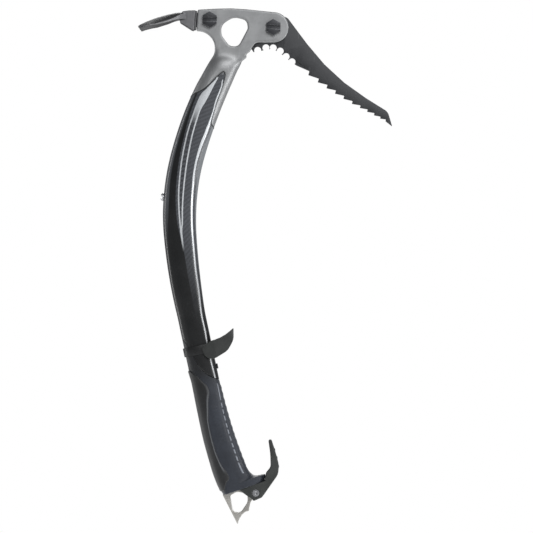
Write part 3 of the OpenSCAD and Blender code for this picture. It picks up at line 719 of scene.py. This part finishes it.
def run_line(points):
    """Front offset of a painted line against length, through (length, offset) in millimetres."""
    made = put(tree, "FloatCurve")
    curve = made.mapping.curves[0]
    spots = [((s * MM - low_s) / (high_s - low_s), (off * MM - low_off) / (high_off - low_off))
             for s, off in sorted(points)]
    if spots[0][0] > 0:
        spots.insert(0, (0.0, spots[0][1]))
    if spots[-1][0] < 1:
        spots.append((1.0, spots[-1][1]))
    for i, spot in enumerate(spots):
        if i in (0, 1):
            curve.points[i].location = spot
        else:
            curve.points.new(*spot)
    made.mapping.update()
    feed(tree, scaled_length, made.inputs["Value"])
    return calc(tree, "ADD", calc(tree, "MULTIPLY", made.outputs[0], high_off - low_off), low_off)


stripe_back = run_line([(226, 2.2), (247, 1.1), (256, 0.6), (271, -0.6), (285, -1.8), (300, -2.8),
                        (315, -4.1), (330, -5.3), (345, -6.4), (360, -6.8), (376, -7.1), (381, -6.6),
                        (386, -4.7), (391, -2.9), (396, -1.2), (401, 0.2)])
stripe_middle = run_line([(226, 2.4), (247, 1.9), (256, 2.9), (270, 2.9), (284, 2.7), (298, 2.2),
                          (311, 1.4), (326, 0.2), (342, -1.2), (355, -1.9), (367, -2.3), (375, -1.2),
                          (384, -0.4), (393, -0.1), (401, 0.2)])
stripe_front = run_line([(101, 10.3), (119, 9.5), (135, 9.3), (146, 10), (162, 9.9), (187, 11.6), (212, 11.8),
                         (230, 12.2), (261, 12), (292, 11.1), (308, 10), (324, 9.7), (337, 10), (350, 10.7),
                         (368, 10.1), (382, 8.5), (395, 7.8), (404, 5.5)])
front_width = run_line([(101, 0.9), (187, 1.2), (261, 1.4), (308, 1.5), (324, 1.8), (340, 2.3), (352, 2),
                        (368, 0.8), (382, 1.1), (395, 1.1), (404, 0.7)])
# The painted black band down the back: its front edge, and its back edge, behind which runs a pale painted
# highlight
black_front = run_line([(226, 2.2), (247, -1), (266, -3.5), (300, -6), (335, -8.5), (370, -11), (400, -11.8)])
black_back = run_line([(226, -12), (250, -11), (266, -10), (300, -11), (340, -11.8)])
fade_low = ramp(tree, length, 0.226, 0.242)
thin_line = 0.0011
line_back = grouped(tree, band_group, across=front, centre=stripe_back, width=thin_line)["Mask"]
line_middle = grouped(tree, band_group, across=front, centre=stripe_middle, width=thin_line)["Mask"]
line_front = grouped(tree, band_group, across=front, centre=stripe_front, width=front_width)["Mask"]
line_front = calc(tree, "MULTIPLY", line_front, ramp(tree, length, 0.19, 0.275, 0.5, 1))
between = calc(tree, "MULTIPLY", ramp(tree, calc(tree, "SUBTRACT", front, stripe_back), -0.0004, 0.0002),
               ramp(tree, calc(tree, "SUBTRACT", stripe_middle, front), -0.0004, 0.0002))
wedge = calc(tree, "MULTIPLY", between, ramp(tree, length, 0.350, 0.374))
upper = calc(tree, "MULTIPLY", calc(tree, "MAXIMUM", line_back, line_middle), fade_low)
silver = calc(tree, "MAXIMUM", calc(tree, "MAXIMUM", upper, line_front), wedge)
silver = calc(tree, "MULTIPLY", silver, ramp(tree, length, 0.4035, 0.4015))

twill = grouped(tree, twill_group, map=wrap_uv, tow=0.0012)
bare = calc(tree, "MULTIPLY", ramp(tree, calc(tree, "SUBTRACT", front, black_front), 0.0, 0.0008),
            ramp(tree, length, 0.150, 0.260))
fibre = tint(tree, twill["Over"], srgb(58, 60, 64), srgb(71, 73, 78))
fibre = tint(tree, calc(tree, "MULTIPLY", twill["Shade"], 0.4), fibre, srgb(62, 64, 68))
# Row of darker dashes between the two thin lines
dash_pitch = 0.0047
beat = calc(tree, "FRACT", calc(tree, "DIVIDE", length, dash_pitch))
beat = calc(tree, "ABSOLUTE", calc(tree, "SUBTRACT", beat, 0.5))
dash = calc(tree, "MULTIPLY", ramp(tree, beat, 0.24, 0.32), calc(tree, "MULTIPLY", between, fade_low))
fibre = tint(tree, calc(tree, "MULTIPLY", dash, 0.55), fibre, srgb(34, 35, 38))
grain = grouped(tree, grain_group, fine=1600.0, coarse=45.0)
black = tint(tree, grain["Mottle"], srgb(13, 14, 15), srgb(20, 21, 22))
# Painted highlights: a pale strip along the very back of the tube and another just in front of the front
# pinstripe, standing in for reflections of the soft boxes in the lacquer
back_edge_painted_highlight = calc(tree, "MULTIPLY", ramp(tree, calc(tree, "SUBTRACT", black_back, front), 0.0, 0.0012),
                ramp(tree, length, 0.230, 0.280))
past_front = ramp(tree, calc(tree, "SUBTRACT", front, stripe_front), 0.0024, 0.0036)
front_edge_painted_highlight = calc(tree, "MULTIPLY", past_front, ramp(tree, length, 0.180, 0.215))
black = tint(tree, calc(tree, "MULTIPLY", back_edge_painted_highlight, 0.8), black, srgb(74, 76, 80))
body = tint(tree, bare, black, fibre)
body = tint(tree, calc(tree, "MULTIPLY", front_edge_painted_highlight, 0.7), body, srgb(122, 125, 128))
flake = tint(tree, grain["Tooth"], srgb(178, 181, 184), srgb(214, 217, 220))
feed(tree, tint(tree, silver, body, flake), surface["Base Color"])
feed(tree, calc(tree, "MULTIPLY", silver, 0.4), surface["Metallic"])
feed(tree, ramp(tree, grain["Mottle"], 0.3, 0.7, 0.30, 0.40), surface["Roughness"])
surface["Specular IOR Level"].default_value = 0.3
surface["Coat Weight"].default_value = 0.35
surface["Coat Roughness"].default_value = 0.12
weave_height = calc(tree, "MULTIPLY", twill["Height"], bare)
bumped(tree, surface, (weave_height, 0.04, 0.35), (silver, 0.03, 0.3), (grain["Mottle"], 0.06, 0.15))
fit(shaft, "shaft", shaft_finish)

# ---- Bond line ----
# Dark epoxy squeezed out between the carbon and the neck, wiped round but left a little uneven.

bead_section = [(-0.35, 0.2), (-0.3, 0), (-0.1, -0.2), (0.42, -0.28), (0.9, -0.2), (1.1, 0), (1.15, 0.2),
                (1.15, 1.6), (-0.35, 1.6)]
bead = loft("bond_bead", [[shaft_point(arch(a) + lift, a, inset) for a in neck_angles]
                          for lift, inset in bead_section], looped=True)
shade(bead, 50)
bead_finish, tree, surface = paint("epoxy_bead")
grain = grouped(tree, grain_group, fine=1400.0, coarse=220.0)
feed(tree, tint(tree, grain["Mottle"], srgb(14, 14, 16), srgb(28, 28, 30)), surface["Base Color"])
feed(tree, ramp(tree, grain["Tooth"], 0.3, 0.7, 0.35, 0.6), surface["Roughness"])
bumped(tree, surface, (grain["Mottle"], 0.2, 0.4), (grain["Tooth"], 0.03, 0.4))
fit(bead, "neck_bead", bead_finish)

# ---- Studs ----
# A domed steel stud in the spine, which a second hand or a leash can use, and a low plastic stud
# in front that the finger ledge stops against.

bright_finish = metal("bright_steel", srgb(150, 151, 153), srgb(174, 175, 177), srgb(220, 221, 222),
                      (0.22, 0.34), 0.9, 0.01, 0.4, fine=2600.0, scratch=0.2)


def small_part(node, name, width, finish, body="root"):
    """CAD part with rounded corners and a finish."""
    piece = cast(node, name, merge=0.01)
    apply(piece, "BEVEL", width=width * MM, segments=3, limit_method="ANGLE", angle_limit=math.radians(32))
    shade(piece, 35)
    fit(piece, node, finish, body)
    return piece


small_part("spine_stud", "spine_stud_dome", 0.3, bright_finish)


def moulded(name, dark, light, rubbed, shine, tooth, fine=1500.0, wear=0.4, sheen=0.0):
    """Moulded plastic or rubber: eroded-mould grain, mottling and paler rubbed corners."""
    made, tree, surface = paint(name)
    grain = grouped(tree, grain_group, fine=fine, coarse=55.0)
    worn = grouped(tree, wear_group, radius=0.0009, amount=wear)["Mask"]
    body = tint(tree, ramp(tree, grain["Mottle"], 0.3, 0.7), dark, light)
    body = tint(tree, calc(tree, "MULTIPLY", grain["Pits"], 0.3), body, dark)
    feed(tree, tint(tree, worn, body, rubbed), surface["Base Color"])
    dull = ramp(tree, grain["Mottle"], 0.25, 0.75, *shine)
    feed(tree, calc(tree, "SUBTRACT", dull, calc(tree, "MULTIPLY", worn, 0.1)), surface["Roughness"])
    surface["Sheen Weight"].default_value = sheen
    surface["Specular IOR Level"].default_value = 0.35
    bumped(tree, surface, (grain["Mottle"], 0.06, 0.2), (grain["Tooth"], tooth, 0.6))
    return made


stop_finish = moulded("stop_nylon", srgb(30, 31, 33), srgb(40, 41, 43), srgb(70, 71, 73), (0.4, 0.55), 0.03)
small_part("stop_stud", "stop_stud_cap", 0.35, stop_finish)

# ---- Grip ----
# A tapered handle of firm rubber moulded over the tube, with a ribbed front strip between two
# rows of short bars, faint ribs on its flanks and a shelf under the little finger.

grip_back = [(-11, 5.4), (-6, 7.2), (4, 9.5), (14, 10.9), (24, 11.7), (34, 12.4), (44, 12.9), (54, 13.1),
             (74, 13.05), (100, 12.75), (112, 13.55), (150, 13.55)]
grip_front = [(4, 23.4), (10, 21.8), (16.5, 20.6), (27, 19), (37, 17.6), (47, 16.4), (57, 15.5), (67, 14.8),
              (77, 14.2), (87, 13.8), (98, 13.55)]
grip_side = [(-11, 11.6), (10, 12.4), (60, 12.4), (85, 11.4), (100, 10.3), (112, 9.95)]
lip = [(-10.9, 35.6), (-10.5, 36.4), (-8.4, 37.6), (-5.6, 38.4), (-4.6, 37), (-3.8, 31), (-2, 27),
       (1.2, 24.8), (4, 23.4)]
bore_play = 0.08
bore_depth = seat_depth + bore_play
bore_back = [(-11, 3.8), (-6, 5), (4, 7.2), (13, 8.8), (24, 10.2), (30, bore_depth)]
bore_front = [(-11, 14), (13, 13), (30, bore_depth)]
grip_foot, lip_top = -11, 4
grip_neck = 84
bars_low, bars_high = 12, 84
bar_pitch = 6.7
bar_places = [(-4, 44), (20, 46), (50, 47), (75, 44), (90, 40)]
grip_angles = angles((110, 2), (180, 3.5))


def slanted(s, front):
    """The foot of the grip is cut at a slight slant to the shaft."""
    return s + 0.119 * max(0, min(1, (18 - s) / 20)) * front


def hill(value, low, high, soft):
    """1 between low and high, falling to 0 over soft outside them."""
    out = max(low - value, value - high, 0) / soft
    return 0.5 + 0.5 * math.cos(math.pi * min(1, out))


def bars(s, degrees):
    """Height share of the row of short bars on each side, which runs on as a plain ridge."""
    beat = abs((s - lip_top) / bar_pitch % 1 - 0.5) * bar_pitch
    in_bar = hill(beat, 0, 1.9, 0.5) if bars_low < s < bars_high else 1
    return in_bar * hill(abs(abs(degrees) - follow(bar_places, s)), 0, 1.6, 2.4) * hill(s, 3, 95, 1)


def relief(s, degrees):
    """Height in millimetres of the mould's pattern: front strip, bars and flank ribs."""
    a = abs(degrees)
    strip = 0.3 * hill(a, 0, 30, 6) * hill(s, 12, 92, 3)
    wave = 0.5 + 0.5 * math.cos(2 * math.pi * (s - lip_top) / bar_pitch)
    ribs = 0.35 * wave * hill(a, 0, 26, 8) * hill(s, 14, 90, 4)
    flank = 0.22 * hill(abs((s / 3.4) % 1 - 0.5), 0, 0.2, 0.25) * hill(a, 62, 88, 6) * hill(s, 38, 74, 3)
    return strip + ribs + 0.5 * bars(s, degrees) + flank


def grip_point(s, degrees, rise=0.0, front=None):
    depth = (front or follow(grip_front, s)) + rise
    p = oval(degrees, follow(grip_back, s) + rise, depth, follow(grip_side, s) + rise)
    return on_centre(slanted(s, p[0]), *p)


def bore_point(s, degrees):
    p = oval(degrees, follow(bore_back, s), follow(bore_front, s), seat_thick + bore_play)
    return on_centre(slanted(s, p[0]), *p)


def glide(before, start, stop, after, t):
    """Point at share t from start to stop, on the smooth curve through all four."""
    return [0.5 * (2 * start[k] + (stop[k] - before[k]) * t
                   + (2 * before[k] - 5 * start[k] + 4 * stop[k] - after[k]) * t * t
                   + (3 * start[k] - before[k] - 3 * stop[k] + after[k]) * t**3) for k in (0, 1)]


# Height of the bars at each point of the rings that have them, by the ring's place in the list; it sets where
# the bars get their painted highlight
raised = {}
grip_rings = [[grip_point(grip_foot, a, -0.5, 35.4) for a in grip_angles]]
ring_gap = 0.9
for before, start, stop, after in zip([lip[0]] + lip, lip, lip[1:], lip[2:] + [lip[-1]]):
    count = max(2, math.ceil(math.dist(start, stop) / ring_gap))
    for t in fractions(count)[:-1]:
        s, front_depth = glide(before, start, stop, after, t)
        grip_rings.append([grip_point(s, a, 0, front_depth) for a in grip_angles])
for share in fractions(76):
    s = blend(lip_top, grip_neck, share)
    raised[len(grip_rings)] = [bars(s, a) for a in grip_angles]
    grip_rings.append([grip_point(s, a, relief(s, a)) for a in grip_angles])
for share in fractions(42)[1:]:
    places = [blend(grip_neck, grip_edge(a) - 0.9, share) for a in grip_angles]
    raised[len(grip_rings)] = [bars(s, a) for s, a in zip(places, grip_angles)]
    grip_rings.append([grip_point(s, a, relief(s, a)) for s, a in zip(places, grip_angles)])
grip_rings.append([grip_point(grip_edge(a) - 0.65, a, -0.12) for a in grip_angles])
grip_rings.append([grip_point(grip_edge(a) - 0.5, a, -0.4) for a in grip_angles])
for share in (1, 0.5, 0):
    grip_rings.append([bore_point(blend(grip_neck, grip_edge(a) - 0.5, share), a) for a in grip_angles])
grip_rings += [[bore_point(s, a) for a in grip_angles] for s in (30, 20, 10, 0, grip_foot)]
grip = loft("grip_moulding", grip_rings, looped=True)
shade(grip, 50)

grip_finish = moulded("grip_rubber", srgb(31, 35, 43), srgb(39, 44, 53), srgb(94, 99, 110),
                      (0.42, 0.58), 0.03, wear=0.75, sheen=0.15)
pattern = grip.data.attributes.new("pattern", "FLOAT", "POINT")
for ring, heights in raised.items():
    for i, height in enumerate(heights):
        pattern.data[ring * len(grip_angles) + i].value = height
tree = grip_finish.node_tree
surface = tree.nodes["Principled BSDF"].inputs
# The bars are tinted paler as a painted highlight on their raised faces
bars_painted_highlight = calc(tree, "MULTIPLY", put(tree, "Attribute", attribute_name="pattern").outputs["Fac"], 0.85)
rubber_colour = surface["Base Color"].links[0].from_socket
feed(tree, tint(tree, bars_painted_highlight, rubber_colour, srgb(138, 142, 150)), surface["Base Color"])


def blacken_top(finish, low, high):
    """Deepens a finish to near black between two heights in metres."""
    tree = finish.node_tree
    colour = tree.nodes["Principled BSDF"].inputs["Base Color"]
    height = put(tree, "SeparateXYZ")
    feed(tree, put(tree, "TexCoord").outputs["Object"], height.inputs[0])
    share = calc(tree, "MULTIPLY", ramp(tree, height.outputs[2], low, high), 0.85)
    feed(tree, tint(tree, share, colour.links[0].from_socket, srgb(14, 15, 16)), colour)


blacken_top(grip_finish, -0.347, -0.325)
fit(grip, "grip", grip_finish)

# ---- Back panel of the grip ----
# A softer pad of a second rubber that wraps the heel of the hand, let into the grip with a
# rounded rim that stands out along its front border.

panel_steps = [(-7, 112), (-1, 92), (4, 84), (8, 85), (22, 98), (32, 105), (50, 108), (60, 107), (72, 98),
               (83, 90), (89, 85), (94, 86), (101, 100), (107, 118), (113, 150)]
panel_across = [-1, -0.994, -0.985, -0.97, -0.95, -0.92, -0.88] + [i / 12 for i in range(-10, 11)]
panel_across += [0.88, 0.92, 0.95, 0.97, 0.985, 0.994, 1]
panel_rings, rim_heights = [], []
panel_low, panel_high = -7, 113
panel_ends = [0, 0.15, 0.4, 0.8, 1.4]
panel_lengths = [panel_low + e for e in panel_ends]
panel_lengths += [blend(panel_low + 2, panel_high - 2, share) for share in fractions(96)]
panel_lengths += [panel_high - e for e in reversed(panel_ends)]
# A degree round the back of the grip, in millimetres
degree_width = math.radians(1) * 12.5
rim_width = 1.1
for s in panel_lengths:
    half_turn = 180 - follow(panel_steps, s)
    outer, inner, crests = [], [], []
    for u in panel_across:
        a = 180 + half_turn * u
        gap = min((1 - abs(u)) * half_turn * degree_width, s - panel_low, panel_high - s)
        rim = 1 - (1 - min(gap / rim_width, 1)) ** 2
        a = a - 360 if a > 180 else a
        outer.append(grip_point(s, a, 0.1 + 0.7 * math.sqrt(rim) + 0.12 * hill(gap, rim_width, 2.2, 0.9)))
        crests.append(hill(gap, 0.5, 0.9, 0.4) * hill(s, 16, 103, 9))
        inner.append(grip_point(s, a, -0.3))
    panel_rings.append(outer + inner[::-1])
    rim_heights += crests + [0.0] * len(inner)
panel = loft("grip_back_pad", panel_rings)
shade(panel, 60)
panel_finish = moulded("soft_rubber", srgb(21, 22, 24), srgb(28, 29, 31), srgb(100, 103, 107),
                       (0.45, 0.6), 0.035, wear=0.7, sheen=0.2)
rim_line = panel.data.attributes.new("rim", "FLOAT", "POINT")
for corner, height in zip(rim_line.data, rim_heights):
    corner.value = height
tree = panel_finish.node_tree
colour = tree.nodes["Principled BSDF"].inputs["Base Color"]
# The crest of the rim is tinted paler as a painted highlight along the panel's front border
rim_painted_highlight = calc(tree, "MULTIPLY", put(tree, "Attribute", attribute_name="rim").outputs["Fac"], 0.42)
feed(tree, tint(tree, rim_painted_highlight, colour.links[0].from_socket, srgb(118, 121, 126)), colour)
blacken_top(panel_finish, -0.360, -0.335)
fit(panel, "grip_back_panel", panel_finish)

# ---- Spike ----
# A stainless plate held in the tube by a tang and two cross pins, with a second clip-in eye and
# a ground point. A moulded core packs the tang in the foot of the grip.

spike = cast("spike", "spike_plate", merge=0.01)
forge(spike, 0.3, 4)
# Nothing may reach below the point of the plate
for corner in spike.data.vertices:
    corner.co.z = max(corner.co.z, cad_box[0][2])
spike_finish = metal("stainless_plate", srgb(160, 158, 153), srgb(180, 178, 173), srgb(212, 211, 207),
                     (0.34, 0.46), 0.8, 0.03, 0.5)
fit(spike, "spike", spike_finish)

core_finish = moulded("core_nylon", srgb(28, 29, 31), srgb(36, 37, 39), srgb(60, 61, 63), (0.5, 0.65), 0.03)
for node, finish in (("spike_plug", core_finish), ("spike_pins", bright_finish)):
    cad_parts[node].data.materials.clear()
    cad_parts[node].data.materials.append(finish)

# ---- Hook ----
# A moulded hook that straddles the spike plate and guards the little finger. Its outer rim has
# three small bumps, and a socket screw with a nut in the far cheek holds it.

hook = cast("fang", "hook_moulding", merge=0.01)
bumps = []
bump_radius, bump_width = 2.4, 9
for x, z in ((37.7, -404.6), (39.9, -412.2), (41.4, -420.4)):
    bpy.ops.mesh.primitive_cylinder_add(vertices=24, radius=bump_radius * MM, depth=bump_width * MM,
                                        location=(x * MM, 0, z * MM), rotation=(math.pi / 2, 0, 0))
    bpy.ops.object.transform_apply(location=True, rotation=True, scale=True)
    bumps.append(bpy.context.object)
join([hook] + bumps)
forge(hook, 0.5, 9)
hook_finish = moulded("hook_nylon", srgb(43, 45, 44), srgb(53, 55, 54), srgb(120, 122, 120),
                      (0.38, 0.52), 0.035, fine=1300.0, wear=0.6)
fit(hook, "fang", hook_finish)
small_part("fang_bolt", "hook_screw", 0.25, bright_finish)
small_part("fang_nut", "hook_screw_nut", 0.25, bright_finish)

# ---- Finger ledge ----
# A moulded ledge for the upper hand, clamped on the shaft by a band and a small cam lever on the
# far side, so it slides along the shaft when the lever is open.

ledge = cast("finger_ledge", "ledge_moulding", merge=0.01)
forge(ledge, 0.38, 3)
ledge_finish = moulded("ledge_nylon", srgb(34, 36, 35), srgb(43, 45, 44), srgb(110, 112, 111),
                       (0.36, 0.5), 0.03, fine=1400.0, wear=0.5)
fit(ledge, "finger_ledge", ledge_finish, "ledge")

band_finish = moulded("band_nylon", srgb(17, 18, 19), srgb(24, 25, 26), srgb(48, 49, 50), (0.36, 0.5), 0.025)
small_part("clamp_band", "clamp_strap", 0.25, band_finish, "ledge")
small_part("lever_pin", "lever_pin_rod", 0.3, bright_finish, "ledge")
small_part("tension_screw", "tension_screw_rod", 0.2, bright_finish, "ledge")

lever = cast("lock_lever", "cam_lever", merge=0.01)
forge(lever, 0.28, 3)
lever_finish = moulded("lever_nylon", srgb(50, 52, 54), srgb(60, 62, 64), srgb(112, 114, 116),
                       (0.34, 0.48), 0.03, wear=0.6)
fit(lever, "lock_lever", lever_finish, "lever")
